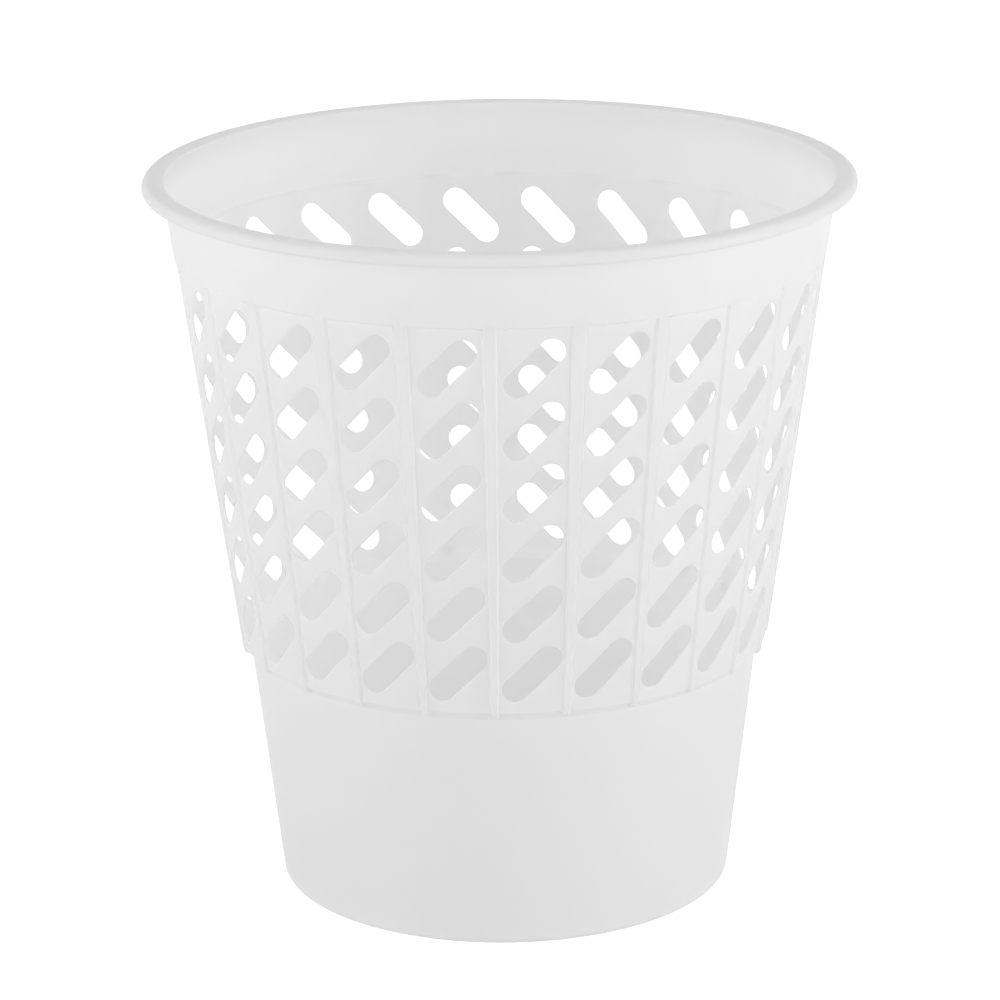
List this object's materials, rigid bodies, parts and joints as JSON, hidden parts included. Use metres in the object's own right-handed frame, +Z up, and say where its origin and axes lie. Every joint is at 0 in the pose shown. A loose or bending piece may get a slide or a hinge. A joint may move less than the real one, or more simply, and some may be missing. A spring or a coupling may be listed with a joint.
{
  "type": "wastebasket",
  "caption": "Round open-topped plastic wastebasket with a turned-over rim, a grille of slanted slots between raised ribs, and a plain lower wall.",
  "frame": {"origin": "centre of the standing surface, under the middle of the base", "axes": "+Z up along the basket's axis; one rib lies on the -Y side, and +X is to the right seen from there"},
  "size_m": [0.2904, 0.2904, 0.3],
  "materials": {
    "white_plastic": "satin"
  },
  "bodies": {
    "root": {"rim": "white_plastic", "upper_band": "white_plastic", "shoulder_ring": "white_plastic", "lower_wall": "white_plastic", "foot_ring": "white_plastic", "base_floor": "white_plastic", "slotted_panel_01": "white_plastic", "slotted_panel_02": "white_plastic", "slotted_panel_03": "white_plastic", "slotted_panel_04": "white_plastic", "slotted_panel_05": "white_plastic", "slotted_panel_06": "white_plastic", "slotted_panel_07": "white_plastic", "slotted_panel_08": "white_plastic", "slotted_panel_09": "white_plastic", "slotted_panel_10": "white_plastic", "slotted_panel_11": "white_plastic", "slotted_panel_12": "white_plastic", "slotted_panel_13": "white_plastic", "slotted_panel_14": "white_plastic", "slotted_panel_15": "white_plastic", "slotted_panel_16": "white_plastic", "slotted_panel_17": "white_plastic", "slotted_panel_18": "white_plastic", "slotted_panel_19": "white_plastic", "slotted_panel_20": "white_plastic", "slotted_panel_21": "white_plastic", "slotted_panel_22": "white_plastic", "slotted_panel_23": "white_plastic", "slotted_panel_24": "white_plastic", "rib_01": "white_plastic", "rib_02": "white_plastic", "rib_03": "white_plastic", "rib_04": "white_plastic", "rib_05": "white_plastic", "rib_06": "white_plastic", "rib_07": "white_plastic", "rib_08": "white_plastic", "rib_09": "white_plastic", "rib_10": "white_plastic", "rib_11": "white_plastic", "rib_12": "white_plastic", "rib_13": "white_plastic", "rib_14": "white_plastic", "rib_15": "white_plastic", "rib_16": "white_plastic", "rib_17": "white_plastic", "rib_18": "white_plastic", "rib_19": "white_plastic", "rib_20": "white_plastic", "rib_21": "white_plastic", "rib_22": "white_plastic", "rib_23": "white_plastic", "rib_24": "white_plastic"}
  },
  "joints": []
}
